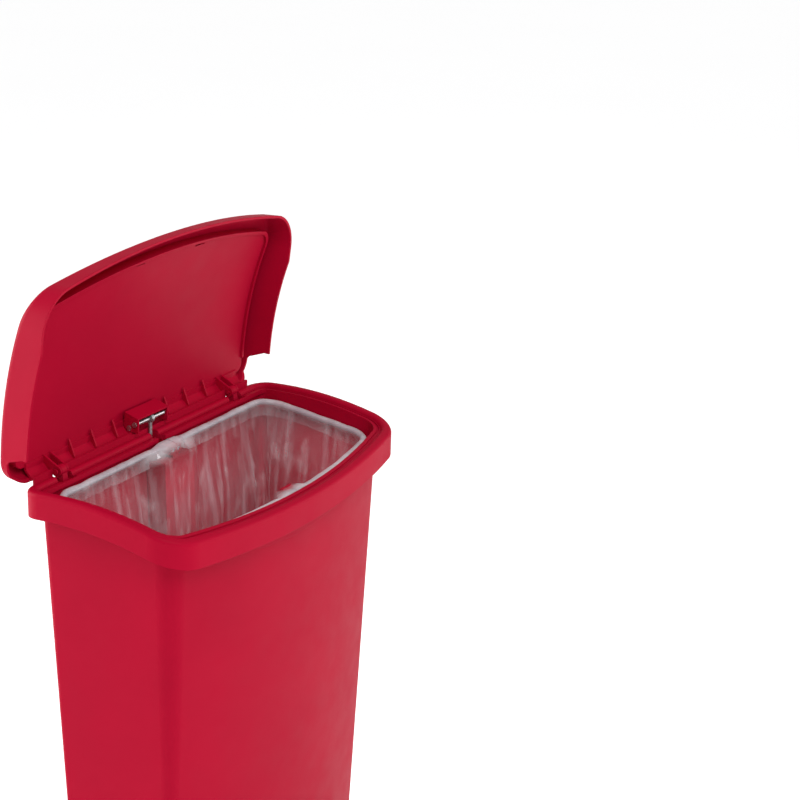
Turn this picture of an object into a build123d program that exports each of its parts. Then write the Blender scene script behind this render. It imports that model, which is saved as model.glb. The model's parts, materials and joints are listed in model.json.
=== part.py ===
"""Slim front-step waste container: tapered body, hinged lid, pedal linkage and hinged bag frame.

Millimetres, +Z up, the front (pedal side) faces -Y. The origin is on the floor, under the middle of the
rim's straight depth. Every piece is written in the open state: pedal down, lid up, bag frame flat.
"""
import os
from math import cos, radians, sin

from build123d import *

# ---------------------------------------------------------------- driving dimensions: rim and body
RIM_HEIGHT = 660.0        # floor to the top of the rim at the back
RIM_WIDTH = 485.0
RIM_DEPTH = 212.0         # back edge to the ends of the bowed front
RIM_BOW = 27.0            # how far the front bows out in the middle
FRONT_CORNER = 44.0
BACK_CORNER = 26.0
RIM_RISE = 27.6           # side profile of the rim: rises a little, then drops towards the front
RIM_DROP = 47.9
CREST_WIDTH = 12.0
CREST_ROUND = 4.5
BAND_HEIGHT = 31.0
BAND_WALL = 3.0
LEDGE_DROP = 5.0          # the ledge inside the crest lies this far below it
GROOVE_DROP = 6.5
GROOVE_WIDTH = 2.5
LEDGE_BOTTOM = 11.0
BODY_INSET = 16.0         # body wall, inwards from the rim's outer edge
DRAFT = 0.034             # each wall leans in by this much per millimetre of height
WALL = 3.0
SKIRT_BOTTOM = 8.0        # lower edge of the moulded body
BIN_FLOOR = 84.0          # top of the floor inside the container
FLOOR_THICKNESS = 4.0
OPENING_BACK = 22.0       # width of the rail along the back
CHIN_STAND = 2.5          # the chin stands this proud of the front wall
CHIN_HALF_WIDTH = 196.0
CHIN_HIGH = RIM_HEIGHT - 44.0
CHIN_SAG = 34.0
FENCE_HEIGHT = 8.0
FENCE_SPANS = ((34, 165.5), (184.5, 216))
NOTCH_HALF_WIDTH = 7.0    # notch in the rail that the push rod moves in
NOTCH_FENCE_HEIGHT = 5.0
ARCH_HALF_WIDTH = 72.0
ARCH_TOP = 68.0

# ---------------------------------------------------------------- lid
HINGE_Y = 100.0
HINGE_Z = RIM_HEIGHT + 5.0
OPEN_ANGLE = 83.0
HINGE_X = 174.0           # middle of each hinge
HINGE_PIN_RADIUS = 2.5
RUNNING_GAP = 0.05        # radial clearance of every turning fit
LID_OVERHANG = 6.0        # the free edge of the lid's skirt stands this far outside the rim
LID_NOSE = 11.0           # the lid reaches this much further at the front
LID_TOP_INSET = 3.0
LID_HEIGHT = 40.0         # top skin above the rim's profile
LID_SKIN = 3.0
LID_SKIRT_DROP = 6.0      # the skirt's free edge lies this far below the rim's profile
LID_EDGE_ROUND = 9.0
PANEL_HEIGHT = 25.0       # inner panel above the rim's profile
PANEL_SKIN = 2.5
PANEL_INSET = 15.0
RIDGE_HEIGHT = 3.0
RIDGE_WIDTH = 4.0
LID_LOW = -14.0           # the flared outline is drawn from this height, relative to the rim
ROLL_START_Y = 84.0       # the lid's top starts to roll down here
ROLL_MIDDLE_Y = 101.0
BEAM_HALF_WIDTH = 212.0
GUSSET_PLACES = (52.6, 93.9, 134.8)
GUSSET_THICKNESS = 2.5
EAR_SPACING = 12.0        # the two ears of each lid hinge
LUG_RADIUS = 6.5
LUG_HALF_WIDTH = 4.4

# ---------------------------------------------------------------- linkage
CRANK_Y = -12.2           # crank pin from the hinge axis, lid closed
CRANK_Z = 2.7
CRANK_RADIUS = 2.5
HOUSING_HALF_WIDTH = 31.0
HOUSING_WALL = 2.5
ROD_WIDTH = 5.0
ROD_THICKNESS = 2.0
ROD_EYE = 5.5
AXLE_Y = 6.0
AXLE_Z = 36.0
AXLE_RADIUS = 4.0
PEDAL_ANGLE = 8.0         # the lever's front lies this far below level when pressed
REAR_ARM = 48.0
FRONT_ARM = 184.0
LEVER_HALF_WIDTH = 28.0
LEVER_SKIN = 3.0
TREAD_HALF_WIDTH = 62.0
TREAD_LENGTH = 38.0
TREAD_THICKNESS = 5.0
FOOT_PIN_RADIUS = 2.5

# ---------------------------------------------------------------- base
SKIRT_FOOT_X = 178.0
SKIRT_FOOT_Y = 42.0
FOOT_RADIUS = 11.0
BOSS_RADIUS = 13.0
ROLLER_X = 120.0
ROLLER_Y = 58.0
ROLLER_RADIUS = 16.0
ROLLER_WIDTH = 18.0
ROLLER_LIFT = 1.5         # the rollers only touch the floor when the container is tipped back
ROLLER_AXLE_RADIUS = 3.0
ROLLER_Z = ROLLER_RADIUS + ROLLER_LIFT
ROLLER_TOP = ROLLER_Z + ROLLER_RADIUS + 4
FOOT_PEG_RADIUS = 4.0
FOOT_PEG_LENGTH = 8.0
SCREW_RADIUS = 2.0

# ---------------------------------------------------------------- push rod channel
COVER_HALF_WIDTH = 30.0
COVER_WALL = 2.5
COVER_TOP = RIM_HEIGHT - 24.0
COVER_OUTER = [(46, BIN_FLOOR), (66.6, BIN_FLOOR), (85.4, COVER_TOP), (58, COVER_TOP)]
COVER_INNER = [(48.5, BIN_FLOOR - 5), (90, BIN_FLOOR - 5), (90, COVER_TOP + 5), (76, COVER_TOP + 5),
               (76, COVER_TOP - 3), (60.5, COVER_TOP - 3)]

# ---------------------------------------------------------------- bag frame
FRAME_WIRE = 3.0          # radius
FRAME_BACK_Y = 77.0
FRAME_DEPTH = 158.0
FRAME_BOW = 24.0
FRAME_HALF_WIDTH = 216.0
FRAME_CORNER = 26.0
FRAME_DROP = 13.0         # frame plane below the rim, at the back
FRAME_SLOPE = 7.5         # degrees, front lower
FRAME_PIVOT_X = 5.0       # each half turns on its own line beside the middle
PIVOT_LEG = 13.0
PIVOT_HALF_HEIGHT = 5.5
FRAME_END = -FRAME_DEPTH - FRAME_BOW
BACK_STEM = ((-6, 64, RIM_HEIGHT - 24), (6, 71, RIM_HEIGHT - 16))
FRONT_STEM = ((-6, -98, RIM_HEIGHT - 48), (6, -91, RIM_HEIGHT - 38))
FRONT_TAB = ((-6, -112.2, RIM_HEIGHT - 48), (6, -91, RIM_HEIGHT - 42.5))
BAG_FILM = 1.0
BAG_GAP = 1.5
BAG_TOP = -30.0           # upper edge of the bag below the rim's profile

MIDDLE_Y = 21.48          # moves the middle of the whole depth, lid open, onto the origin
FAR = 400.0               # longer than anything it has to cut
TOP = RIM_HEIGHT
# side outlines of the lid's rear, closed, as (y, z)
SKIRT_END = [(66, TOP - 60), (66, TOP + 4), (69, TOP + 10), (76, TOP + 25), (80, TOP + 27.6),
             (96.6, TOP + 27.6), (106.2, TOP + 16.6), (120, TOP + 16.6), (120, TOP - 60)]
HINGE_BEAM = [(88, TOP + 25), (95, TOP + 24.5), (103.2, TOP + 14), (105.8, TOP + 16),
              (96.2, TOP + 27.4), (88, TOP + 28)]
GUSSET = [(80, TOP + 25.5), (95.5, TOP + 25.5), (103.6, TOP + 14.8), (102.4, TOP + 13.4)]
EAR = [(86, TOP + 25.5), (95.5, TOP + 25.5), (104, TOP + 15), (106.2, TOP + 7), (98, TOP - 0.5),
       (94.2, TOP + 3)]
HOUSING_OUTER = [(76, TOP + 24), (79.5, TOP + 4), (98, TOP + 1.8), (98, TOP + 20), (94, TOP + 24)]
HOUSING_INNER = [(78.6, TOP + 21.5), (82, TOP), (99, TOP), (99, TOP + 17), (93, TOP + 21.5)]
KEEPER_RADIUS = 2.0
KEEPER_Y = 94.0
KEEPER_Z = TOP + 15.2
CRANK_PIN_Y = HINGE_Y + CRANK_Y
CRANK_PIN_Z = HINGE_Z + CRANK_Z
SWING = radians(OPEN_ANGLE)
PRESS = radians(PEDAL_ANGLE)
ROD_KNEE_Y = 80.0
LEVER_TOP = AXLE_Z + 10.0
FLANGE = [(AXLE_Y - FRONT_ARM + 20, LEVER_TOP - 8), (AXLE_Y - 60, AXLE_Z - 7), (AXLE_Y + 20, AXLE_Z - 8),
          (AXLE_Y + REAR_ARM + 6, AXLE_Z - 6), (AXLE_Y + REAR_ARM + 6, AXLE_Z + 9), (38, LEVER_TOP),
          (AXLE_Y - FRONT_ARM + 20, LEVER_TOP)]
BACK_Y = RIM_DEPTH / 2
FRONT_Y = -RIM_DEPTH / 2


# ---------------------------------------------------------------- shared outlines
def profile_z(y, offset=0.0):
    """Height of the rim's side profile at depth y, raised by offset."""
    share = (BACK_Y - y) / RIM_DEPTH
    return RIM_HEIGHT + offset + RIM_RISE * share - RIM_DROP * share**2


def outline_face(inset, height, back_inset=None, front_inset=None):
    """Plan outline of the rim, inset from its outer edge, as a face at the given height."""
    back = BACK_Y - (inset if back_inset is None else back_inset)
    front = FRONT_Y + (inset if front_inset is None else front_inset)
    half = RIM_WIDTH / 2 - inset
    with BuildSketch(Plane.XY.offset(height)) as outline:
        with BuildLine():
            Polyline((-half, front), (-half, back), (half, back), (half, front))
            ThreePointArc((-half, front), (0, front - RIM_BOW), (half, front))
        make_face()
        fillet(outline.vertices().group_by(Axis.Y)[0], max(FRONT_CORNER - inset, 6))
        fillet(outline.vertices().group_by(Axis.Y)[-1], max(BACK_CORNER - inset, 4))
    return outline.sketch


def profile_band(low, high):
    """Side view of the slice between two copies of the rim's profile, as a face in the YZ plane."""
    stations = (BACK_Y + 24, 0, FRONT_Y - 60)
    with BuildSketch(Plane.YZ) as band:
        with BuildLine():
            upper = ThreePointArc(*((y, profile_z(y, high)) for y in stations))
            lower = ThreePointArc(*((y, profile_z(y, low)) for y in stations))
            Line(upper @ 0, lower @ 0)
            Line(upper @ 1, lower @ 1)
        make_face()
    return band.sketch


def body_inset(height):
    """Inset of the body's outer wall at a height."""
    return BODY_INSET + DRAFT * (RIM_HEIGHT - height)


# ---------------------------------------------------------------- container
def tapered_block(extra, low, high):
    """Solid that follows the body's draft, its walls moved inwards by extra."""
    with BuildPart() as block:
        loft(
            [outline_face(body_inset(low) + extra, low), outline_face(body_inset(high) + extra, high)],
            ruled=True,
        )
    return block.part


def side_prism(points, half_width, center=0.0):
    """Polygon of (y, z) points carried along X for half_width each way from center."""
    with BuildPart(Plane.YZ.offset(center)) as prism:
        with BuildSketch(Plane.YZ.offset(center)):
            with BuildLine():
                Polyline(*points, close=True)
            make_face()
        extrude(amount=half_width, both=True)
    return prism.part


def cross_pin(radius, half_length, y, z, center=0.0):
    """Round pin along X."""
    with BuildPart() as pin:
        with BuildSketch(Plane.YZ.offset(center)):
            with Locations((y, z)):
                Circle(radius)
        extrude(amount=half_length, both=True)
    return pin.part


def block(low, high):
    """Plain box between two corners."""
    with BuildPart() as box:
        with Locations(((low[0] + high[0]) / 2, (low[1] + high[1]) / 2, (low[2] + high[2]) / 2)):
            Box(high[0] - low[0], high[1] - low[1], high[2] - low[2])
    return box.part


# The rounded crest, with its outer skirt, is open from below like the moulding it is.
with BuildPart() as rim_crest:
    extrude(outline_face(0, RIM_HEIGHT - 80), amount=120)
    extrude(outline_face(CREST_WIDTH, RIM_HEIGHT - 80), amount=120, mode=Mode.SUBTRACT)
    extrude(profile_band(-BAND_HEIGHT, 0), amount=FAR, both=True, mode=Mode.INTERSECT)
    fillet(rim_crest.faces().sort_by(Axis.Z)[-1].edges(), CREST_ROUND)

with BuildPart() as rim_ledge:
    extrude(outline_face(CREST_WIDTH - 5, RIM_HEIGHT - 80), amount=120)
    extrude(
        outline_face(BODY_INSET + WALL, RIM_HEIGHT - 80, back_inset=OPENING_BACK),
        amount=120,
        mode=Mode.SUBTRACT,
    )
    extrude(profile_band(-LEDGE_BOTTOM, -LEDGE_DROP), amount=FAR, both=True, mode=Mode.INTERSECT)

with BuildPart() as ledge_groove:
    extrude(outline_face(CREST_WIDTH + 1.5, RIM_HEIGHT - 80), amount=120)
    extrude(
        outline_face(CREST_WIDTH + 1.5 + GROOVE_WIDTH, RIM_HEIGHT - 80),
        amount=120,
        mode=Mode.SUBTRACT,
    )
    extrude(profile_band(-GROOVE_DROP, 0), amount=FAR, both=True, mode=Mode.INTERSECT)

with BuildPart() as band_pocket:
    extrude(outline_face(BAND_WALL, RIM_HEIGHT - 90), amount=120)
    extrude(profile_band(-BAND_HEIGHT - 12, -LEDGE_BOTTOM), amount=FAR, both=True, mode=Mode.INTERSECT)

with BuildPart() as body_wall:
    add(tapered_block(0, SKIRT_BOTTOM, RIM_HEIGHT + 10))
    extrude(profile_band(-RIM_HEIGHT, -LEDGE_DROP), amount=FAR, both=True, mode=Mode.INTERSECT)
    add(tapered_block(WALL, BIN_FLOOR, RIM_HEIGHT + 20), mode=Mode.SUBTRACT)
    add(tapered_block(WALL, SKIRT_BOTTOM - 5, BIN_FLOOR - FLOOR_THICKNESS), mode=Mode.SUBTRACT)

# A shallow chin follows the front wall and hangs below the rim band in a long curve.
with BuildPart() as front_chin:
    add(tapered_block(-CHIN_STAND, RIM_HEIGHT - 160, RIM_HEIGHT - 20))
    add(tapered_block(WALL, RIM_HEIGHT - 170, RIM_HEIGHT), mode=Mode.SUBTRACT)
    with BuildSketch(Plane.XZ) as chin_shape:
        with BuildLine():
            chin_top = Line((-CHIN_HALF_WIDTH, CHIN_HIGH), (CHIN_HALF_WIDTH, CHIN_HIGH))
            ThreePointArc(chin_top @ 0, (0, CHIN_HIGH - CHIN_SAG), chin_top @ 1)
        make_face()
    extrude(chin_shape.sketch, amount=FAR, mode=Mode.INTERSECT)

with BuildPart() as container_shell:
    add(rim_crest.part)
    add(rim_ledge.part)
    add(band_pocket.part, mode=Mode.SUBTRACT)
    add(ledge_groove.part, mode=Mode.SUBTRACT)
    add(body_wall.part)
    add(front_chin.part)
    for side in (-1, 1):
        # corner bosses for the feet
        for y in (-SKIRT_FOOT_Y, SKIRT_FOOT_Y):
            with Locations((side * SKIRT_FOOT_X, y, SKIRT_BOTTOM)):
                Cylinder(
                    BOSS_RADIUS,
                    BIN_FLOOR - SKIRT_BOTTOM - 2,
                    align=(Align.CENTER, Align.CENTER, Align.MIN),
                )
                Cylinder(
                    FOOT_PEG_RADIUS,
                    2 * FOOT_PEG_LENGTH,
                    align=(Align.CENTER, Align.CENTER, Align.CENTER),
                    mode=Mode.SUBTRACT,
                )
        # roller cheeks and the gap in the skirt that the roller looks out of
        roller = side * ROLLER_X
        add(
            block((roller - 12, ROLLER_Y - 9, SKIRT_BOTTOM - 1), (roller + 12, 90, ROLLER_TOP)),
            mode=Mode.SUBTRACT,
        )
        for cheek in (-1, 1):
            middle = roller + cheek * (ROLLER_WIDTH / 2 + 3)
            add(
                block(
                    (middle - 1.5, ROLLER_Y - 9, SKIRT_BOTTOM),
                    (middle + 1.5, ROLLER_Y + 6, BIN_FLOOR - 2),
                )
            )
        add(cross_pin(ROLLER_AXLE_RADIUS, 20, ROLLER_Y, ROLLER_Z, roller), mode=Mode.SUBTRACT)
        # hinge slot through the rail, and the lug that carries the hinge pin
        hinge = side * HINGE_X
        add(
            block((hinge - 13, 86, RIM_HEIGHT - 9), (hinge + 13, 102, RIM_HEIGHT + 20)),
            mode=Mode.SUBTRACT,
        )
        add(
            block((hinge - 13, 86, RIM_HEIGHT - 4), (hinge + 13, 120, RIM_HEIGHT + 20)),
            mode=Mode.SUBTRACT,
        )
        add(
            side_prism(
                [
                    (92, RIM_HEIGHT - 10),
                    (104, RIM_HEIGHT - 10),
                    (HINGE_Y + LUG_RADIUS - 1, HINGE_Z),
                    (HINGE_Y - LUG_RADIUS + 1, HINGE_Z),
                ],
                LUG_HALF_WIDTH,
                hinge,
            )
        )
        add(cross_pin(LUG_RADIUS, LUG_HALF_WIDTH, HINGE_Y, HINGE_Z, hinge))
        add(
            cross_pin(HINGE_PIN_RADIUS + RUNNING_GAP, LUG_HALF_WIDTH + 1, HINGE_Y, HINGE_Z, hinge),
            mode=Mode.SUBTRACT,
        )
        # low fence that closes the gap under the lid's rear edge
        for span in FENCE_SPANS:
            low, high = sorted(side * x for x in span)
            add(block((low, BACK_Y - 3, RIM_HEIGHT - 6), (high, BACK_Y, RIM_HEIGHT + FENCE_HEIGHT)))
    # notch in the rail for the push rod, and its hole through the floor
    add(
        block(
            (-NOTCH_HALF_WIDTH, 78, RIM_HEIGHT - 34),
            (NOTCH_HALF_WIDTH, BACK_Y - BAND_WALL, RIM_HEIGHT + 20),
        ),
        mode=Mode.SUBTRACT,
    )
    add(block((-9, 44, BIN_FLOOR - 10), (9, 62, BIN_FLOOR + 2)), mode=Mode.SUBTRACT)
    add(block((-34, BACK_Y - 3, RIM_HEIGHT - 6), (34, BACK_Y, RIM_HEIGHT + NOTCH_FENCE_HEIGHT)))
    # arch for the pedal
    with BuildSketch(Plane.XZ) as arch:
        with Locations((0, SKIRT_BOTTOM)):
            Rectangle(2 * ARCH_HALF_WIDTH, 2 * (ARCH_TOP - SKIRT_BOTTOM))
        fillet(arch.vertices().group_by(Axis.Z)[-1], 14)
    extrude(arch.sketch, amount=FAR, mode=Mode.SUBTRACT)
    # holes for the bracket's screws
    with Locations(*[(x, y, BIN_FLOOR) for x in (-42, 42) for y in (-6, 18)]):
        Hole(SCREW_RADIUS + 0.2, depth=FLOOR_THICKNESS + 4)

with BuildPart() as rod_channel_cover:
    add(side_prism(COVER_OUTER, COVER_HALF_WIDTH))
    add(side_prism(COVER_INNER, COVER_HALF_WIDTH - COVER_WALL), mode=Mode.SUBTRACT)


# ---------------------------------------------------------------- lid, drawn closed and then swung open
def skin_block(extra, low, high):
    """Solid inside the lid's flared outline, its walls moved inwards by extra."""
    with BuildPart() as skin:
        loft(
            [
                outline_face(
                    extra - LID_OVERHANG,
                    RIM_HEIGHT + LID_LOW,
                    back_inset=extra,
                    front_inset=extra - LID_OVERHANG - LID_NOSE,
                ),
                outline_face(
                    extra + LID_TOP_INSET,
                    RIM_HEIGHT + LID_HEIGHT + 8,
                    back_inset=extra,
                    front_inset=extra + LID_TOP_INSET - LID_NOSE,
                ),
            ],
            ruled=True,
        )
        extrude(profile_band(low, high), amount=FAR, both=True, mode=Mode.INTERSECT)
    return skin.part


def roll_waste(shift):
    """Everything behind the rolled rear edge of the lid, the roll moved inwards by shift."""
    with BuildPart() as waste:
        with BuildSketch(Plane.YZ):
            with BuildLine():
                roll = ThreePointArc(
                    (ROLL_START_Y, profile_z(ROLL_START_Y, LID_HEIGHT) - shift),
                    (ROLL_MIDDLE_Y - 0.7 * shift, RIM_HEIGHT + 34.5 - 0.7 * shift),
                    (BACK_Y - shift, RIM_HEIGHT + 17),
                )
                Polyline(roll @ 1, (BACK_Y - shift, RIM_HEIGHT - 60), (150, RIM_HEIGHT - 60), (150, 800),
                         (ROLL_START_Y, 800), roll @ 0)
            make_face()
        extrude(amount=FAR, both=True)
    return waste.part


def panel_face(inset, back_inset):
    """Plan outline of the lid's inner panel, inset from the rim's edge, as a face."""
    return outline_face(inset, RIM_HEIGHT - 30, back_inset=back_inset, front_inset=inset - LID_NOSE)


def opened(closed_part):
    """Swing a piece of the lid from closed to open about the hinge line."""
    return closed_part.rotate(Axis((0, HINGE_Y, HINGE_Z), (-1, 0, 0)), OPEN_ANGLE)


with BuildPart() as lid_outer:
    add(skin_block(0, -LID_SKIRT_DROP, LID_HEIGHT))
    fillet(lid_outer.faces().sort_by(Axis.Z)[-1].edges().sort_by(Axis.Y)[:-1], LID_EDGE_ROUND)
    add(roll_waste(0), mode=Mode.SUBTRACT)

with BuildPart() as lid_space:
    add(skin_block(LID_SKIN, -60, LID_HEIGHT - LID_SKIN))
    fillet(lid_space.faces().sort_by(Axis.Z)[-1].edges().sort_by(Axis.Y)[:-1], LID_EDGE_ROUND - LID_SKIN)
    add(roll_waste(LID_SKIN), mode=Mode.SUBTRACT)

with BuildPart() as lid_shell:
    add(lid_outer.part)
    add(lid_space.part, mode=Mode.SUBTRACT)
    # the side skirts end in front of the hinge, and the rear edge ends on the hinge beam
    add(side_prism(SKIRT_END, FAR), mode=Mode.SUBTRACT)

with BuildPart() as panel_tray:
    extrude(panel_face(PANEL_INSET, 14), amount=110)
    extrude(
        profile_band(PANEL_HEIGHT, LID_HEIGHT - LID_SKIN),
        amount=FAR,
        both=True,
        mode=Mode.INTERSECT,
    )
    add(roll_waste(LID_SKIN), mode=Mode.SUBTRACT)

with BuildPart() as panel_hollow:
    extrude(panel_face(PANEL_INSET + PANEL_SKIN, 14 + PANEL_SKIN), amount=110)
    extrude(
        profile_band(PANEL_HEIGHT + PANEL_SKIN, LID_HEIGHT + 5),
        amount=FAR,
        both=True,
        mode=Mode.INTERSECT,
    )

with BuildPart() as panel_ridge:
    extrude(panel_face(PANEL_INSET, 14), amount=110)
    extrude(panel_face(PANEL_INSET + RIDGE_WIDTH, 10), amount=110, mode=Mode.SUBTRACT)
    extrude(
        profile_band(PANEL_HEIGHT - RIDGE_HEIGHT, PANEL_HEIGHT),
        amount=FAR,
        both=True,
        mode=Mode.INTERSECT,
    )
    add(block((-FAR, 74, RIM_HEIGHT - 60), (FAR, 120, RIM_HEIGHT + 80)), mode=Mode.SUBTRACT)

with BuildPart() as lid_inner_panel:
    add(panel_tray.part)
    add(panel_hollow.part, mode=Mode.SUBTRACT)
    add(panel_ridge.part)
    add(side_prism(HINGE_BEAM, BEAM_HALF_WIDTH))
    for side in (-1, 1):
        for place in GUSSET_PLACES:
            add(side_prism(GUSSET, GUSSET_THICKNESS / 2, side * place))
        for ear in (-1, 1):
            place = side * HINGE_X + ear * EAR_SPACING / 2
            add(side_prism(EAR, GUSSET_THICKNESS / 2, place))
            add(cross_pin(LUG_RADIUS, GUSSET_THICKNESS / 2, HINGE_Y, HINGE_Z, place))
            add(
                cross_pin(HINGE_PIN_RADIUS + RUNNING_GAP, GUSSET_THICKNESS, HINGE_Y, HINGE_Z, place),
                mode=Mode.SUBTRACT,
            )
        # slot beside the front ridge, for the tab that snaps onto the lid
        add(
            block((side * 60 - 10, -122.8, RIM_HEIGHT - 20), (side * 60 + 10, -119.8, RIM_HEIGHT + 14)),
            mode=Mode.SUBTRACT,
        )

with BuildPart() as link_housing:
    add(side_prism(HOUSING_OUTER, HOUSING_HALF_WIDTH))
    add(side_prism(HOUSING_INNER, HOUSING_HALF_WIDTH - HOUSING_WALL), mode=Mode.SUBTRACT)
    add(cross_pin(CRANK_RADIUS, 40, CRANK_PIN_Y, CRANK_PIN_Z), mode=Mode.SUBTRACT)
    add(cross_pin(KEEPER_RADIUS, 40, KEEPER_Y, KEEPER_Z), mode=Mode.SUBTRACT)

with BuildPart() as crank_pin:
    add(cross_pin(CRANK_RADIUS, HOUSING_HALF_WIDTH, CRANK_PIN_Y, CRANK_PIN_Z))
    for side in (-1, 1):
        head = side * (HOUSING_HALF_WIDTH + 0.8)
        add(cross_pin(CRANK_RADIUS + 0.8, 0.8, CRANK_PIN_Y, CRANK_PIN_Z, head))

with BuildPart() as housing_keeper_pin:
    add(cross_pin(KEEPER_RADIUS, HOUSING_HALF_WIDTH, KEEPER_Y, KEEPER_Z))
    for side in (-1, 1):
        head = side * (HOUSING_HALF_WIDTH + 0.8)
        add(cross_pin(KEEPER_RADIUS + 1.2, 0.8, KEEPER_Y, KEEPER_Z, head))


def hinge_pin(side):
    """Pin through one lug and its two ears, with a head towards the container's end."""
    with BuildPart() as pin:
        add(cross_pin(HINGE_PIN_RADIUS, 9, HINGE_Y, HINGE_Z, side * HINGE_X))
        add(cross_pin(HINGE_PIN_RADIUS + 1.3, 0.8, HINGE_Y, HINGE_Z, side * (HINGE_X + 9.8)))
    return pin.part


# ---------------------------------------------------------------- push rod and pedal
PIN_OPEN = (HINGE_Y + CRANK_Y * cos(SWING) + CRANK_Z * sin(SWING),
            HINGE_Z - CRANK_Y * sin(SWING) + CRANK_Z * cos(SWING))
FOOT_OPEN = (AXLE_Y + REAR_ARM * cos(PRESS), AXLE_Z + REAR_ARM * sin(PRESS))

with BuildPart() as push_rod:
    with BuildSketch(Plane.YZ):
        with BuildLine():
            FilletPolyline(
                PIN_OPEN,
                (PIN_OPEN[0], RIM_HEIGHT - 12),
                (ROD_KNEE_Y, RIM_HEIGHT - 32),
                FOOT_OPEN,
                radius=8,
            )
        trace(line_width=ROD_THICKNESS)
        with Locations(PIN_OPEN):
            Circle(ROD_EYE)
        with Locations(FOOT_OPEN):
            Circle(ROD_EYE)
        with Locations(PIN_OPEN):
            Circle(CRANK_RADIUS + RUNNING_GAP, mode=Mode.SUBTRACT)
        with Locations(FOOT_OPEN):
            Circle(FOOT_PIN_RADIUS, mode=Mode.SUBTRACT)
    extrude(amount=ROD_WIDTH / 2, both=True)

with BuildPart() as rod_foot_pin:
    add(cross_pin(FOOT_PIN_RADIUS, LEVER_HALF_WIDTH + 2, *FOOT_OPEN))


def pressed(level_part):
    """Tilt a piece of the pedal from level to pressed, front down."""
    return level_part.rotate(Axis((0, AXLE_Y, AXLE_Z), (1, 0, 0)), PEDAL_ANGLE)


LEVER_TIP = AXLE_Y - FRONT_ARM
with BuildPart() as pedal_lever:
    # channel section: top plate, two flanges and the wide front plate
    add(
        block(
            (-LEVER_HALF_WIDTH, LEVER_TIP + 6, LEVER_TOP - LEVER_SKIN),
            (LEVER_HALF_WIDTH, 40, LEVER_TOP),
        )
    )
    with BuildSketch(Plane.XY.offset(LEVER_TOP - LEVER_SKIN)) as front_plate:
        with Locations((0, LEVER_TIP + TREAD_LENGTH / 2)):
            Rectangle(2 * TREAD_HALF_WIDTH, TREAD_LENGTH)
        fillet(front_plate.vertices(), 8)
    extrude(amount=LEVER_SKIN)
    for side in (-1, 1):
        add(side_prism(FLANGE, LEVER_SKIN / 2, side * (LEVER_HALF_WIDTH - LEVER_SKIN / 2)))
    add(cross_pin(AXLE_RADIUS + RUNNING_GAP, 40, AXLE_Y, AXLE_Z), mode=Mode.SUBTRACT)
    # long slots for the rod's foot pin
    slot_y = AXLE_Y + REAR_ARM
    add(
        block((-40, slot_y - 5.2, AXLE_Z - 3.0), (40, slot_y + 3.2, AXLE_Z + 5.6)),
        mode=Mode.SUBTRACT,
    )

with BuildPart() as pedal_tread:
    with BuildSketch(Plane.XY.offset(LEVER_TOP)) as tread_face:
        with Locations((0, LEVER_TIP + TREAD_LENGTH / 2)):
            Rectangle(2 * TREAD_HALF_WIDTH, TREAD_LENGTH)
        fillet(tread_face.vertices(), 8)
    extrude(amount=TREAD_THICKNESS)
    chamfer(pedal_tread.faces().sort_by(Axis.Z)[-1].edges(), 1.2)
    with Locations(*[(0, LEVER_TIP + 7 + 6 * row, LEVER_TOP + TREAD_THICKNESS) for row in range(5)]):
        Box(2 * TREAD_HALF_WIDTH - 16, 2, 2, mode=Mode.SUBTRACT)

with BuildPart() as pedal_axle:
    add(cross_pin(AXLE_RADIUS, 38, AXLE_Y, AXLE_Z))
    for side in (-1, 1):
        add(cross_pin(AXLE_RADIUS - 0.8, 1, AXLE_Y, AXLE_Z, side * 38.2), mode=Mode.SUBTRACT)

with BuildPart() as pedal_bushes:
    for side in (-1, 1):
        add(cross_pin(AXLE_RADIUS + 3, 0.9, AXLE_Y, AXLE_Z, side * (LEVER_HALF_WIDTH + 1.1)))
    add(cross_pin(AXLE_RADIUS, 40, AXLE_Y, AXLE_Z), mode=Mode.SUBTRACT)

with BuildPart() as pedal_bracket:
    bottom = BIN_FLOOR - FLOOR_THICKNESS
    add(block((-50, AXLE_Y - 20, bottom - 3), (50, AXLE_Y + 20, bottom)))
    for side in (-1, 1):
        low, high = sorted((side * 30.2, side * 33.2))
        add(block((low, AXLE_Y - 14, AXLE_Z - 9), (high, AXLE_Y + 14, bottom)))
    add(cross_pin(AXLE_RADIUS, 40, AXLE_Y, AXLE_Z), mode=Mode.SUBTRACT)
    with Locations(*[(x, y, bottom) for x in (-42, 42) for y in (-6, 18)]):
        Hole(SCREW_RADIUS + 0.2, depth=6)

with BuildPart() as axle_clips:
    for side in (-1, 1):
        add(cross_pin(AXLE_RADIUS + 2.5, 0.6, AXLE_Y, AXLE_Z, side * 35))
    add(cross_pin(AXLE_RADIUS, 40, AXLE_Y, AXLE_Z), mode=Mode.SUBTRACT)

with BuildPart() as bracket_screws:
    with Locations(*[(x, y, BIN_FLOOR - FLOOR_THICKNESS - 3) for x in (-42, 42) for y in (-6, 18)]):
        Cylinder(SCREW_RADIUS, 6.5, align=(Align.CENTER, Align.CENTER, Align.MIN))
        Cylinder(SCREW_RADIUS * 2, 2.4, align=(Align.CENTER, Align.CENTER, Align.MAX))

# ---------------------------------------------------------------- feet and rollers
with BuildPart() as rubber_feet:
    places = [(x, y, 0) for x in (-SKIRT_FOOT_X, SKIRT_FOOT_X) for y in (-SKIRT_FOOT_Y, SKIRT_FOOT_Y)]
    with Locations(*places):
        Cone(
            FOOT_RADIUS - 1.5,
            FOOT_RADIUS,
            SKIRT_BOTTOM,
            align=(Align.CENTER, Align.CENTER, Align.MIN),
        )
        Cylinder(
            FOOT_PEG_RADIUS,
            SKIRT_BOTTOM + FOOT_PEG_LENGTH - 1,
            align=(Align.CENTER, Align.CENTER, Align.MIN),
        )


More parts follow.
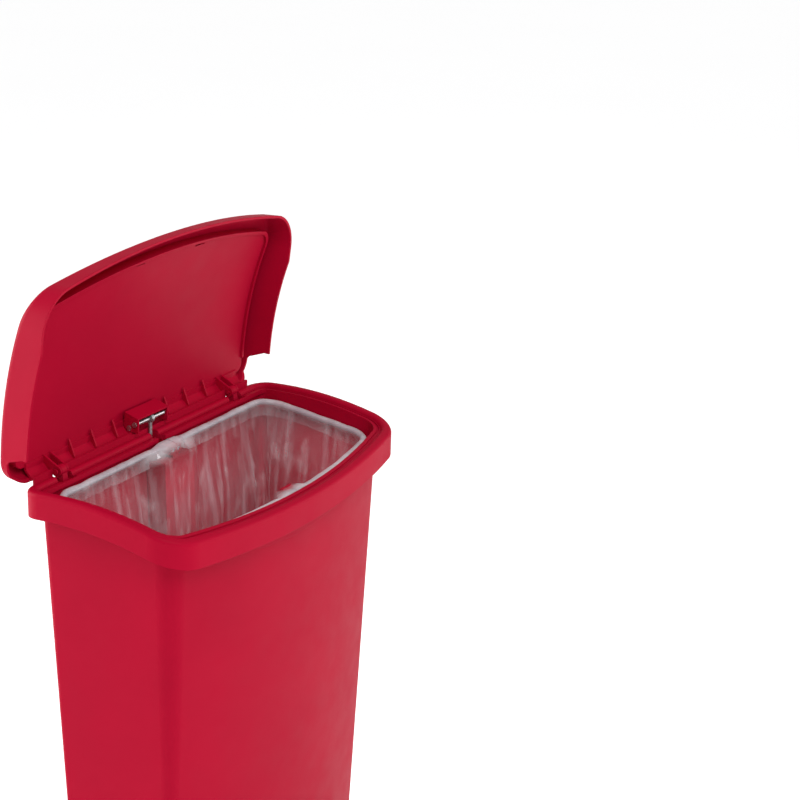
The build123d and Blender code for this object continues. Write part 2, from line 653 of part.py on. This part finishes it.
def roller(side):
    """Wheel with a rounded tread and a bored hub."""
    with BuildPart() as wheel:
        middle = side * ROLLER_X
        add(cross_pin(ROLLER_RADIUS, ROLLER_WIDTH / 2, ROLLER_Y, ROLLER_Z, middle))
        fillet(wheel.edges().filter_by(GeomType.CIRCLE), 3)
        for face in (-1, 1):
            add(
                cross_pin(ROLLER_RADIUS - 5, 1.5, ROLLER_Y, ROLLER_Z, middle + face * ROLLER_WIDTH / 2),
                mode=Mode.SUBTRACT,
            )
        add(cross_pin(ROLLER_AXLE_RADIUS + 4, ROLLER_WIDTH / 2, ROLLER_Y, ROLLER_Z, middle))
        add(
            cross_pin(ROLLER_AXLE_RADIUS + RUNNING_GAP, ROLLER_WIDTH, ROLLER_Y, ROLLER_Z, middle),
            mode=Mode.SUBTRACT,
        )
    return wheel.part


with BuildPart() as roller_axles:
    for side in (-1, 1):
        add(cross_pin(ROLLER_AXLE_RADIUS, ROLLER_WIDTH / 2 + 6, ROLLER_Y, ROLLER_Z, side * ROLLER_X))


# ---------------------------------------------------------------- bag frame and bag
def grown(side_outline, margin):
    """Side outline of the rod cover, front and top moved out by margin, back carried far behind."""
    front_low, _, _, front_high = side_outline
    return [
        (front_low[0] - margin, front_low[1] - 20),
        (BACK_Y + 20, front_low[1] - 20),
        (BACK_Y + 20, front_high[1] + 60),
        (front_high[0] - margin + 2, front_high[1] + 60),
        (front_high[0] - margin, front_high[1]),
    ]


FRAME_PLANE = Plane(
    origin=(0, FRAME_BACK_Y, RIM_HEIGHT - FRAME_DROP),
    x_dir=(1, 0, 0),
    z_dir=(0, -sin(radians(FRAME_SLOPE)), cos(radians(FRAME_SLOPE))),
)


def bag_frame(side):
    """One U-shaped half of the wire frame, its two ends turned in as pivot pins."""
    middle = side * FRAME_PIVOT_X
    outer = side * FRAME_HALF_WIDTH
    with BuildPart() as frame:
        with BuildLine(FRAME_PLANE) as path:
            FilletPolyline(
                (middle, -PIVOT_LEG),
                (middle, 0),
                (outer, 0),
                (outer, -FRAME_DEPTH),
                (side * 0.5 * FRAME_HALF_WIDTH, -FRAME_DEPTH - 0.75 * FRAME_BOW),
                (middle, -FRAME_DEPTH - FRAME_BOW),
                (middle, -FRAME_DEPTH - FRAME_BOW + PIVOT_LEG),
                radius=[4.5, FRAME_CORNER, FRAME_CORNER + 8, 420, 4.5],
            )
        with BuildSketch(Plane(origin=path.line @ 0, z_dir=path.line % 0)):
            Circle(FRAME_WIRE)
        sweep()
    return frame.part


def pivot_block(low_y, high_y, *stem_boxes):
    """Block in the frame's own plane with two bores for the pivot pins, on a stem of upright boxes."""
    with BuildPart() as pivot:
        with BuildSketch(FRAME_PLANE.offset(-PIVOT_HALF_HEIGHT)):
            with Locations((0, (low_y + high_y) / 2)):
                Rectangle(4 * FRAME_PIVOT_X, high_y - low_y)
        extrude(amount=2 * PIVOT_HALF_HEIGHT)
        for box in stem_boxes:
            add(block(*box))
        with Locations(FRAME_PLANE):
            bores = [Location((side * FRAME_PIVOT_X, low_y, 0), (90, 0, 0)) for side in (-1, 1)]
            with Locations(*bores):
                Cylinder(FRAME_WIRE + RUNNING_GAP, 60, mode=Mode.SUBTRACT)
    return pivot.part


with BuildPart() as bag_outer:
    add(tapered_block(WALL + BAG_GAP, BIN_FLOOR + BAG_GAP, RIM_HEIGHT + 10))
    extrude(profile_band(-RIM_HEIGHT, BAG_TOP), amount=FAR, both=True, mode=Mode.INTERSECT)
    add(side_prism(grown(COVER_OUTER, BAG_GAP), COVER_HALF_WIDTH + BAG_GAP), mode=Mode.SUBTRACT)

with BuildPart() as bag_inner:
    add(tapered_block(WALL + BAG_GAP + BAG_FILM, BIN_FLOOR + BAG_GAP + BAG_FILM, RIM_HEIGHT + 20))
    add(side_prism(grown(COVER_OUTER, BAG_GAP + BAG_FILM), COVER_HALF_WIDTH + BAG_GAP + BAG_FILM),
        mode=Mode.SUBTRACT)

with BuildPart() as waste_bag:
    add(bag_outer.part)
    add(bag_inner.part, mode=Mode.SUBTRACT)


# ---------------------------------------------------------------- finished pieces
pieces = {
    "container_shell": container_shell.part,
    "rod_channel_cover": rod_channel_cover.part,
    "lid_shell": opened(lid_shell.part),
    "lid_inner_panel": opened(lid_inner_panel.part),
    "link_housing": opened(link_housing.part),
    "crank_pin": opened(crank_pin.part),
    "housing_keeper_pin": opened(housing_keeper_pin.part),
    "hinge_pin_left": hinge_pin(-1),
    "hinge_pin_right": hinge_pin(1),
    "push_rod": push_rod.part,
    "rod_foot_pin": rod_foot_pin.part,
    "pedal_lever": pressed(pedal_lever.part),
    "pedal_tread": pressed(pedal_tread.part),
    "pedal_axle": pedal_axle.part,
    "pedal_bushes": pedal_bushes.part,
    "pedal_bracket": pedal_bracket.part,
    "axle_clips": axle_clips.part,
    "bracket_screws": bracket_screws.part,
    "rubber_feet": rubber_feet.part,
    "roller_left": roller(-1),
    "roller_right": roller(1),
    "roller_axles": roller_axles.part,
    "bag_frame_left": bag_frame(-1),
    "bag_frame_right": bag_frame(1),
    "frame_pivot_back": pivot_block(-PIVOT_LEG - 1, -4.5, BACK_STEM),
    "frame_pivot_front": pivot_block(FRAME_END + 4.5, FRAME_END + PIVOT_LEG + 1, FRONT_STEM, FRONT_TAB),
    "waste_bag": waste_bag.part,
}

os.makedirs("parts", exist_ok=True)
for name, piece in pieces.items():
    placed = Pos(0, MIDDLE_Y, 0) * piece
    placed.label = name
    export_step(placed, f"parts/{name}.step")
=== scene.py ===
"""Looks of the slim front-step waste container: materials, bag film, light and camera.

Metres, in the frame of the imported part: +Z up, the pedal side faces -Y, the floor is z = 0.
"""
import json
import math

import bpy
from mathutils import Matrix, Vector, noise


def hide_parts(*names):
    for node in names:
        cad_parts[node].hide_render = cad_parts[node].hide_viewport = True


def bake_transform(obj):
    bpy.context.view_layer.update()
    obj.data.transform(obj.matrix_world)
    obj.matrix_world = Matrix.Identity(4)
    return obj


# ---------------------------------------------------------------- camera
CAMERA_AZIMUTH = -56.0
CAMERA_ELEVATION = 19.8
CAMERA_DISTANCE = 2.175
CAMERA_TARGET = Vector((0, 0.02148, 0.660))    # middle of the rim
CAMERA_LENS = 83.2
CAMERA_SHIFT = (0.225, 0.0594)

# ---------------------------------------------------------------- bag frame, as the wire is bent
FRAME_HALF_WIDTH = 0.216
FRAME_DEPTH = 0.158
FRAME_BOW = 0.024
BACK_CORNER = 0.026
FRONT_CORNER = 0.034
BOW_RADIUS = 0.42

# ---------------------------------------------------------------- bag film
COLUMN_STEP = 0.003       # spacing of the film's columns along the wire
ROW_STEP = 0.003
FINE_DEPTH = 0.120        # rows are fine this far below the wire, where the film turns with the frame
COARSE_ROWS = 52
FLOOR_ROWS = 14
FOLD_ROWS = 7
FLAP = 0.020              # width of the flap that hangs outside the wire
FLAP_LEAN = 0.036         # the flap leans in with the container's wall
FOLD_GAP = 0.0045         # film's distance from the middle of the wire
BAG_BOTTOM = 0.0885
COVER_HALF_WIDTH = 0.0315
COVER_TOP = 0.6378
BLOCK_HALF_WIDTH = 0.013
BLOCK_RISE = 0.0078
BLOCK_REACH = 0.017
BACK_PART = -0.04         # columns behind this place along the frame pass the rod channel's cover
COVER_FACE = 0.0208       # the film stands this far inside the wire over the cover's top
COVER_LEAN = 0.012        # and this much further in at the cover's foot
COVER_LENGTH = 0.552
UPPER_TAPER = 0.085       # the film leaves the wire quickly at first
LOWER_TAPER = 0.016       # and then follows the wall's draft
TAPER_DEPTH = 0.10
PLEAT_DEPTH = 0.0085
RIDGE_DEPTH = 0.0035
WRINKLE_DEPTH = 0.0012
CRINKLE_DEPTH = 0.0006
CRUMPLE_HEIGHT = 0.004    # folds of the film on the container's floor

# ---------------------------------------------------------------- light
AIM = (0, 0.02, 0.62)
SOFTBOXES = {
    # name: place, aim, power, size
    "softbox_left": ((-0.9, 2.4, 1.1), AIM, 62, (1.6, 1.8)),
    "softbox_right": ((1.9, -2.0, 1.0), AIM, 26, (1.4, 1.8)),
    "softbox_top": ((-0.8, -1.1, 2.3), (0, 0.02, 0.55), 24, (1.2, 1.2)),
    "bin_fill": ((0, 0, 0.635), (0, 0, 0.1), 0.17, (0.36, 0.10)),
}
WORLD_STRENGTH = 0.47
FLOOR_GLOW = 0.55
FLOOR_HALF_WIDTH = 40.0

# ---------------------------------------------------------------- surface values
PLASTIC_GRAIN = 1400
EDGE_RADIUS = 0.0008      # how round the moulded edges look
RED = (0.39, 0.002, 0.023)
DARK = (0.028, 0.028, 0.030)


def smooth(value, low, high):
    """0 below low, 1 above high, with a smooth step between."""
    share = min(1.0, max(0.0, (value - low) / (high - low)))
    return share * share * (3 - 2 * share)


# ---------------------------------------------------------------- materials
def new_material(name, color, roughness, metallic=0.0, specular=0.5):
    """Principled material with its constant values set on the shader's own sockets."""
    material = bpy.data.materials.new(name)
    material.use_nodes = True
    shader = material.node_tree.nodes["Principled BSDF"]
    shader.inputs["Base Color"].default_value = (*color, 1)
    shader.inputs["Roughness"].default_value = roughness
    shader.inputs["Metallic"].default_value = metallic
    shader.inputs["Specular IOR Level"].default_value = specular
    return material, shader


def add_noise(material, scale, detail=3.0, stretch=(1, 1, 1), coordinates="Object"):
    """Noise texture over the piece, in metres, and its factor output."""
    nodes, links = material.node_tree.nodes, material.node_tree.links
    place = nodes.new("ShaderNodeTexCoord")
    mapping = nodes.new("ShaderNodeMapping")
    mapping.inputs["Scale"].default_value = stretch
    texture = nodes.new("ShaderNodeTexNoise")
    texture.inputs["Scale"].default_value = scale
    texture.inputs["Detail"].default_value = detail
    links.new(place.outputs[coordinates], mapping.inputs["Vector"])
    links.new(mapping.outputs["Vector"], texture.inputs["Vector"])
    return texture.outputs["Fac"]


def add_ramp(material, factor, stops):
    """Colour ramp with (position, colour) stops."""
    nodes, links = material.node_tree.nodes, material.node_tree.links
    ramp = nodes.new("ShaderNodeValToRGB")
    elements = ramp.color_ramp.elements
    while len(elements) < len(stops):
        elements.new(0.5)
    for element, (position, color) in zip(elements, stops):
        element.position = position
        element.color = (*color, 1) if len(color) == 3 else color
    links.new(factor, ramp.inputs["Fac"])
    return ramp.outputs["Color"]


def add_range(material, factor, low, high, start=0.3, stop=0.7):
    """Maps a texture's factor from start..stop onto low..high."""
    nodes, links = material.node_tree.nodes, material.node_tree.links
    ranged = nodes.new("ShaderNodeMapRange")
    ranged.inputs["From Min"].default_value = start
    ranged.inputs["From Max"].default_value = stop
    ranged.inputs["To Min"].default_value = low
    ranged.inputs["To Max"].default_value = high
    links.new(factor, ranged.inputs["Value"])
    return ranged.outputs["Result"]


def add_bump(material, shader, height, distance, strength=1.0, edge_radius=0.0):
    """Bump from a height, over edges that are rounded by edge_radius."""
    nodes, links = material.node_tree.nodes, material.node_tree.links
    bump = nodes.new("ShaderNodeBump")
    bump.inputs["Distance"].default_value = distance
    bump.inputs["Strength"].default_value = strength
    links.new(height, bump.inputs["Height"])
    if edge_radius:
        bevel = nodes.new("ShaderNodeBevel")
        bevel.samples = 4
        bevel.inputs["Radius"].default_value = edge_radius
        links.new(bevel.outputs["Normal"], bump.inputs["Normal"])
    links.new(bump.outputs["Normal"], shader.inputs["Normal"])


def tinted(color, share):
    return tuple(channel * share for channel in color)


def moulded_plastic(name, color, roughness):
    """Satin moulding: faint cloudiness in the colour, uneven gloss and a fine spark-eroded grain."""
    material, shader = new_material(name, color, roughness, specular=0.04)
    links = material.node_tree.links
    cloud = add_noise(material, 9, detail=4)
    links.new(
        add_ramp(material, cloud, [(0.3, tinted(color, 0.95)), (0.7, tinted(color, 1.04))]),
        shader.inputs["Base Color"],
    )
    patches = add_noise(material, 35, detail=5)
    gloss = add_range(material, patches, roughness - 0.04, roughness + 0.05)
    links.new(gloss, shader.inputs["Roughness"])
    add_bump(material, shader, add_noise(material, PLASTIC_GRAIN, detail=2), 0.00012, 0.35, EDGE_RADIUS)
    return material


def zinc(name, color, roughness):
    """Plated steel with fine drawing marks along X and a cloudy passivated tint."""
    material, shader = new_material(name, color, roughness, metallic=1.0)
    links = material.node_tree.links
    marks = add_noise(material, 900, detail=3, stretch=(0.04, 1, 1))
    tint = add_noise(material, 60, detail=4)
    links.new(
        add_ramp(material, tint, [(0.35, tinted(color, 0.82)), (0.65, color)]),
        shader.inputs["Base Color"],
    )
    links.new(add_range(material, marks, roughness - 0.08, roughness + 0.14), shader.inputs["Roughness"])
    add_bump(material, shader, marks, 0.00005, 0.4, 0.0004)
    return material


def black_rubber(name):
    color = (0.018, 0.018, 0.019)
    material, shader = new_material(name, color, 0.75, specular=0.3)
    links = material.node_tree.links
    dust = add_noise(material, 120, detail=6)
    links.new(
        add_ramp(material, dust, [(0.35, color), (0.75, (0.045, 0.043, 0.042))]),
        shader.inputs["Base Color"],
    )
    links.new(add_range(material, dust, 0.62, 0.85), shader.inputs["Roughness"])
    add_bump(material, shader, add_noise(material, 2200, detail=3), 0.0002, 0.5, 0.0006)
    return material


def coated_wire(name):
    color = (0.34, 0.29, 0.34)
    material, shader = new_material(name, color, 0.35, specular=0.3)
    links = material.node_tree.links
    coat = add_noise(material, 180, detail=4)
    links.new(
        add_ramp(material, coat, [(0.3, tinted(color, 0.9)), (0.7, color)]),
        shader.inputs["Base Color"],
    )
    links.new(add_range(material, coat, 0.28, 0.45), shader.inputs["Roughness"])
    add_bump(material, shader, add_noise(material, 700, detail=2), 0.0001, 0.4)
    return material


def bag_film(name):
    """Milky polythene: clear over the wall, dense where it is gathered at the wire, streaked downwards.

    The film's UV map is in metres: U along the wire, V inwards and down from the top of the fold.
    """
    color = (0.86, 0.83, 0.87)
    material, shader = new_material(name, color, 0.32, specular=0.5)
    nodes, links = material.node_tree.nodes, material.node_tree.links

    place = nodes.new("ShaderNodeTexCoord")
    split = nodes.new("ShaderNodeSeparateXYZ")
    links.new(place.outputs["UV"], split.inputs["Vector"])

    def combine(operation, first, second):
        math_node = nodes.new("ShaderNodeMath")
        math_node.operation = operation
        for socket, value in zip(math_node.inputs, (first, second)):
            if isinstance(value, (int, float)):
                socket.default_value = value
            else:
                links.new(value, socket)
        return math_node.outputs["Value"]

    # dense band along the wire, whose lower edge wanders by a few millimetres
    wander = add_range(material, add_noise(material, 14, 2, (1, 0.2, 1), "UV"), -0.004, 0.004)
    depth = combine("ADD", split.outputs["Y"], wander)
    inner_edge = add_range(material, depth, 0.70, 0.0, 0.004, 0.022)
    outer_edge = add_range(material, split.outputs["Y"], 0.10, 1.0, -0.006, -0.001)
    gathered = combine("MULTIPLY", inner_edge, outer_edge)

    # over the back pivot block the film lies in several layers
    at_back = add_range(material, split.outputs["X"], 0.60, 0.0, 0.015, 0.075)
    layered = combine("MULTIPLY", at_back, add_range(material, depth, 1.0, 0.0, 0.020, 0.034))

    pleats = add_noise(material, 75, 6, (1, 0.10, 1), "UV")
    creases = add_noise(material, 38, 5, (1, 0.55, 1), "UV")
    clouds = add_noise(material, 7, 4, (1, 1, 1), "UV")
    streaks = add_range(material, pleats, 0.0, 0.26, 0.48, 0.78)
    folds = add_range(material, creases, 0.0, 0.22, 0.55, 0.80)
    haze = add_range(material, clouds, 0.05, 0.15, 0.35, 0.65)
    cover = combine("ADD", combine("ADD", streaks, folds), haze)
    pleated_band = combine("MULTIPLY", gathered, add_range(material, pleats, 0.80, 1.15))
    cover = combine("MAXIMUM", cover, pleated_band)
    cover = combine("MAXIMUM", cover, layered)
    links.new(combine("MINIMUM", cover, 0.95), shader.inputs["Alpha"])

    links.new(
        add_ramp(material, creases, [(0.3, (0.78, 0.75, 0.80)), (0.7, (0.92, 0.89, 0.92))]),
        shader.inputs["Base Color"],
    )
    crinkle = combine("ADD", pleats, combine("MULTIPLY", creases, 1.5))
    add_bump(material, shader, crinkle, 0.0022, 0.6)
    return material


def studio_floor(name):
    color = (0.93, 0.93, 0.935)
    material, shader = new_material(name, color, 0.7, specular=0.2)
    links = material.node_tree.links
    cloud = add_noise(material, 1.2, detail=2)
    links.new(
        add_ramp(material, cloud, [(0.3, tinted(color, 0.99)), (0.7, color)]),
        shader.inputs["Base Color"],
    )
    shader.inputs["Emission Color"].default_value = (1, 1, 1, 1)
    shader.inputs["Emission Strength"].default_value = FLOOR_GLOW
    return material


# ---------------------------------------------------------------- bag film mesh
def rounded(corners, radii):
    """Points along a plane polyline whose inner corners are rounded."""
    points = [Vector(corners[0])]
    for before, corner, after, radius in zip(corners, corners[1:], corners[2:], radii):
        corner = Vector(corner)
        towards_before = (Vector(before) - corner).normalized()
        towards_after = (Vector(after) - corner).normalized()
        half_angle = towards_before.angle(towards_after) / 2
        setback = radius / math.tan(half_angle)
        centre = corner + (towards_before + towards_after).normalized() * (radius / math.sin(half_angle))
        start = corner + towards_before * setback - centre
        turn = math.pi - 2 * half_angle
        sign = -1 if towards_before.cross(towards_after) > 0 else 1
        steps = 16
        for step in range(steps + 1):
            angle = sign * turn * step / steps
            points.append(
                centre
                + Vector((
                    start.x * math.cos(angle) - start.y * math.sin(angle),
                    start.x * math.sin(angle) + start.y * math.cos(angle),
                ))
            )
    points.append(Vector(corners[-1]))
    return points


def evenly(points, step):
    """The same line with evenly spaced points, as (place, tangent, distance along)."""
    lengths = [0.0]
    for a, b in zip(points, points[1:]):
        lengths.append(lengths[-1] + (b - a).length)
    count = round(lengths[-1] / step)
    stations = []
    index = 0
    for number in range(count + 1):
        along = lengths[-1] * number / count
        while index < len(points) - 2 and lengths[index + 1] < along:
            index += 1
        span = lengths[index + 1] - lengths[index]
        share = (along - lengths[index]) / span if span > 1e-9 else 0
        tangent = (points[index + 1] - points[index]).normalized()
        stations.append((points[index].lerp(points[index + 1], share), tangent, along))
    return stations


def wire_stations(slope):
    """Stations along the right half of the wire, from back middle round to front middle, in plan."""
    width, depth = FRAME_HALF_WIDTH, FRAME_DEPTH
    corners = [
        (0, 0),
        (width, 0),
        (width, -depth),
        (0.5 * width, -depth - 0.75 * FRAME_BOW),
        (0, -depth - FRAME_BOW),
    ]
    path = rounded(corners, [BACK_CORNER, FRONT_CORNER, BOW_RADIUS])
    level = [Vector((point.x, point.y * math.cos(slope))) for point in path]
    return evenly(level, COLUMN_STEP)


def film_noise(x, y, seed):
    return noise.noise(Vector((x, y, seed)))


def column_of_film(along, x, is_back, wire_z, seed):
    """One column of the film as (inward offset, height) pairs from the wire, from hem to floor."""
    flap = FLAP * (1 + 0.2 * film_noise(along * 9, 0, seed) + 0.06 * film_noise(along * 60, 3, seed))
    block = 1 - smooth(x, BLOCK_HALF_WIDTH, BLOCK_HALF_WIDTH + 0.016)
    over_cover = (1 - smooth(x, COVER_HALF_WIDTH, COVER_HALF_WIDTH + 0.022)) if is_back else 0.0
    rise = FOLD_GAP + (BLOCK_RISE - FOLD_GAP) * block + 0.0012 * film_noise(along * 45, 7, seed)
    rows = []
    # flap, from its hem up to the wire
    flap_rows = 8
    for row in range(flap_rows):
        height = -flap * (1 - row / flap_rows)
        flare = -0.0006 + 0.0009 * film_noise(along * 60, height * 60, seed + 5)
        rows.append((-FOLD_GAP + flare - FLAP_LEAN * height, height))
    # over the wire, and over the pivot block where there is one
    reach = FOLD_GAP + (BLOCK_REACH - FOLD_GAP) * block
    for row in range(FOLD_ROWS + 1):
        angle = math.pi * row / FOLD_ROWS
        inward = -FOLD_GAP * math.cos(angle) if angle < math.pi / 2 else -reach * math.cos(angle)
        rows.append((inward, rise * math.sin(angle) ** 0.8))
    # down the inside
    fine_rows = round(FINE_DEPTH / ROW_STEP)
    depth_to_floor = wire_z - BAG_BOTTOM
    depths = [FINE_DEPTH * row / fine_rows for row in range(1, fine_rows + 1)]
    for row in range(1, COARSE_ROWS + 1):
        depths.append(FINE_DEPTH + (depth_to_floor - FINE_DEPTH) * row / COARSE_ROWS)
    cover_drop = wire_z - COVER_TOP
    for depth in depths:
        taper = UPPER_TAPER * min(depth, TAPER_DEPTH) + LOWER_TAPER * max(depth - TAPER_DEPTH, 0)
        inward = reach + taper
        if over_cover:
            face = COVER_FACE + COVER_LEAN * max(0, depth - cover_drop) / COVER_LENGTH
            shelf = reach + (face - reach) * smooth(depth, 0.0, cover_drop)
            inward += (max(shelf, inward) - inward) * over_cover
        freedom = smooth(depth, 0.004, 0.11) * (1 - 0.93 * over_cover)
        near_floor = 1 - 0.5 * smooth(depth, depth_to_floor - 0.12, depth_to_floor)
        pleat = film_noise(along * 26, depth * 1.6, seed + 11)
        pleat = 0.5 + 0.5 * math.tanh(2.2 * pleat)
        ridge = 1 - abs(film_noise(along * 55 + depth * 6, depth * 4, seed + 17)) * 2
        fine = film_noise(along * 130, depth * 14, seed + 23)
        folds = PLEAT_DEPTH * pleat + RIDGE_DEPTH * ridge**3 + WRINKLE_DEPTH * fine
        inward += freedom * near_floor * folds
        inward += CRINKLE_DEPTH * film_noise(along * 180, depth * 60, seed + 29) * (1 - over_cover)
        rows.append((inward, -depth))
    return rows


def make_film(side, pivot, axis, seed):
    """Half of the bag: hem, fold over the wire, wall and floor, as one open surface.

    Its UV map is in metres.
    """
    slope = math.atan2(axis.z, axis.y)
    stations = wire_stations(slope)
    vertices, layout = [], []
    for place, tangent, along in stations:
        wire_z = pivot.z + place.y * math.tan(slope)
        is_back = place.y > BACK_PART
        column = column_of_film(along, place.x, is_back, wire_z, seed)
        inwards = Vector((tangent.y, -tangent.x))
        last = None
        distance = -FLAP
        for inward, height in column:
            x = max(0.0, place.x + inwards.x * inward)
            point = Vector((x, pivot.y + place.y + inwards.y * inward, wire_z + height))
            if last is not None:
                distance += (point - last).length
            last = point
            vertices.append(Vector((side * point.x, point.y, point.z)))
            layout.append((along, distance))
        for row in range(1, FLOOR_ROWS + 1):
            share = row / FLOOR_ROWS
            spread = film_noise(last.x * (1 - share) * 30, last.y * 30, seed + 41)
            crumple = CRUMPLE_HEIGHT * abs(spread)
            edge = math.sin(math.pi * min(1.0, share * 2) / 2)
            point = Vector((last.x * (1 - share), last.y * (1 - 0.05 * edge), last.z + crumple * edge))
            vertices.append(Vector((side * point.x, point.y, point.z)))
            layout.append((along, distance + last.x * share))
    rows = len(vertices) // len(stations)
    faces = []
    for column in range(len(stations) - 1):
        for row in range(rows - 1):
            first = column * rows + row
            corners = (first, first + rows, first + rows + 1, first + 1)
            faces.append(corners if side > 0 else corners[::-1])
    mesh = bpy.data.meshes.new(f"bag_half_{'right' if side > 0 else 'left'}")
    mesh.from_pydata(vertices, [], faces)
    uv_map = mesh.uv_layers.new(name="film")
    for loop in mesh.loops:
        uv_map.data[loop.index].uv = layout[loop.vertex_index]
    mesh.polygons.foreach_set("use_smooth", [True] * len(mesh.polygons))
    mesh.validate()
    film = bpy.data.objects.new(mesh.name, mesh)
    bpy.context.scene.collection.objects.link(film)
    return film


# ---------------------------------------------------------------- scene set-up
def area_light(name, place, target, power, size):
    """Soft rectangular light that looks at a point."""
    data = bpy.data.lights.new(name, "AREA")
    data.shape = "RECTANGLE"
    data.size, data.size_y = size
    data.energy = power
    light = bpy.data.objects.new(name, data)
    light.location = place
    light.rotation_euler = (Vector(target) - Vector(place)).to_track_quat("-Z", "Y").to_euler()
    bpy.context.scene.collection.objects.link(light)


def make_camera():
    azimuth, elevation = math.radians(CAMERA_AZIMUTH), math.radians(CAMERA_ELEVATION)
    back = Vector((
        math.sin(azimuth) * math.cos(elevation),
        -math.cos(azimuth) * math.cos(elevation),
        math.sin(elevation),
    ))
    data = bpy.data.cameras.new("camera")
    data.lens = CAMERA_LENS
    data.sensor_width = 36
    data.shift_x, data.shift_y = CAMERA_SHIFT
    data.clip_end = 200
    camera = bpy.data.objects.new("camera", data)
    camera.location = CAMERA_TARGET + back * CAMERA_DISTANCE
    camera.rotation_euler = (-back).to_track_quat("-Z", "Y").to_euler()
    bpy.context.scene.collection.objects.link(camera)
    bpy.context.scene.camera = camera


def make_floor():
    half = FLOOR_HALF_WIDTH
    corners = [(-half, -half, 0), (half, -half, 0), (half, half, 0), (-half, half, 0)]
    mesh = bpy.data.meshes.new("floor")
    mesh.from_pydata(corners, [], [(0, 1, 2, 3)])
    floor = bpy.data.objects.new("floor", mesh)
    floor.data.materials.append(studio_floor("studio_floor"))
    bpy.context.scene.collection.objects.link(floor)


def make_light():
    world = bpy.data.worlds.new("studio")
    world.use_nodes = True
    background = world.node_tree.nodes["Background"]
    background.inputs["Color"].default_value = (1, 1, 1, 1)
    background.inputs["Strength"].default_value = WORLD_STRENGTH
    bpy.context.scene.world = world
    for name, (place, aim, power, size) in SOFTBOXES.items():
        area_light(name, place, aim, power, size)


# ---------------------------------------------------------------- build
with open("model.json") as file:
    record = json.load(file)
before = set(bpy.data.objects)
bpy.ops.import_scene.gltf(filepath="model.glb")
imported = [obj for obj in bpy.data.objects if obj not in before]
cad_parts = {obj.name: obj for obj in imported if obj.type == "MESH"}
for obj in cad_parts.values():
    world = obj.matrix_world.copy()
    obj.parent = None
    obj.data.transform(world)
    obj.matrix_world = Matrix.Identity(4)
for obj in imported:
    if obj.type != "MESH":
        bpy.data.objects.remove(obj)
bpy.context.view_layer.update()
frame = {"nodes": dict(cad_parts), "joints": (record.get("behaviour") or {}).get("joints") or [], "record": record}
bpy.context.scene.view_settings.view_transform = "Standard"

materials = {
    "body_plastic": moulded_plastic("body_plastic", RED, 0.46),
    "lid_plastic": moulded_plastic("lid_plastic", RED, 0.44),
    "bright_steel": zinc("bright_steel", (0.50, 0.49, 0.50), 0.38),
    "plain_steel": zinc("plain_steel", (0.42, 0.42, 0.43), 0.45),
    "black_rubber": black_rubber("black_rubber"),
    "dark_plastic": moulded_plastic("dark_plastic", DARK, 0.45),
    "frame_wire": coated_wire("frame_wire"),
    "bag_film": bag_film("bag_film"),
}
for subpart in frame["record"]["subparts"]:
    node = frame["nodes"][subpart["node"]]
    node.data.materials.clear()
    node.data.materials.append(materials[subpart["material_slot"]])

for side, half in ((-1, "left"), (1, "right")):
    hinge = next(joint for joint in frame["joints"] if joint["name"] == f"frame_{half}_hinge")
    pivot = Vector(hinge["pos_m"])
    axis = Vector(hinge["axis"]) * (1 if hinge["axis"][1] > 0 else -1)
    film = make_film(side, pivot, axis, seed=3.7 + side)
    film.data.materials.append(materials["bag_film"])
    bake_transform(film)
    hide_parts("waste_bag")

make_floor()
make_light()
make_camera()
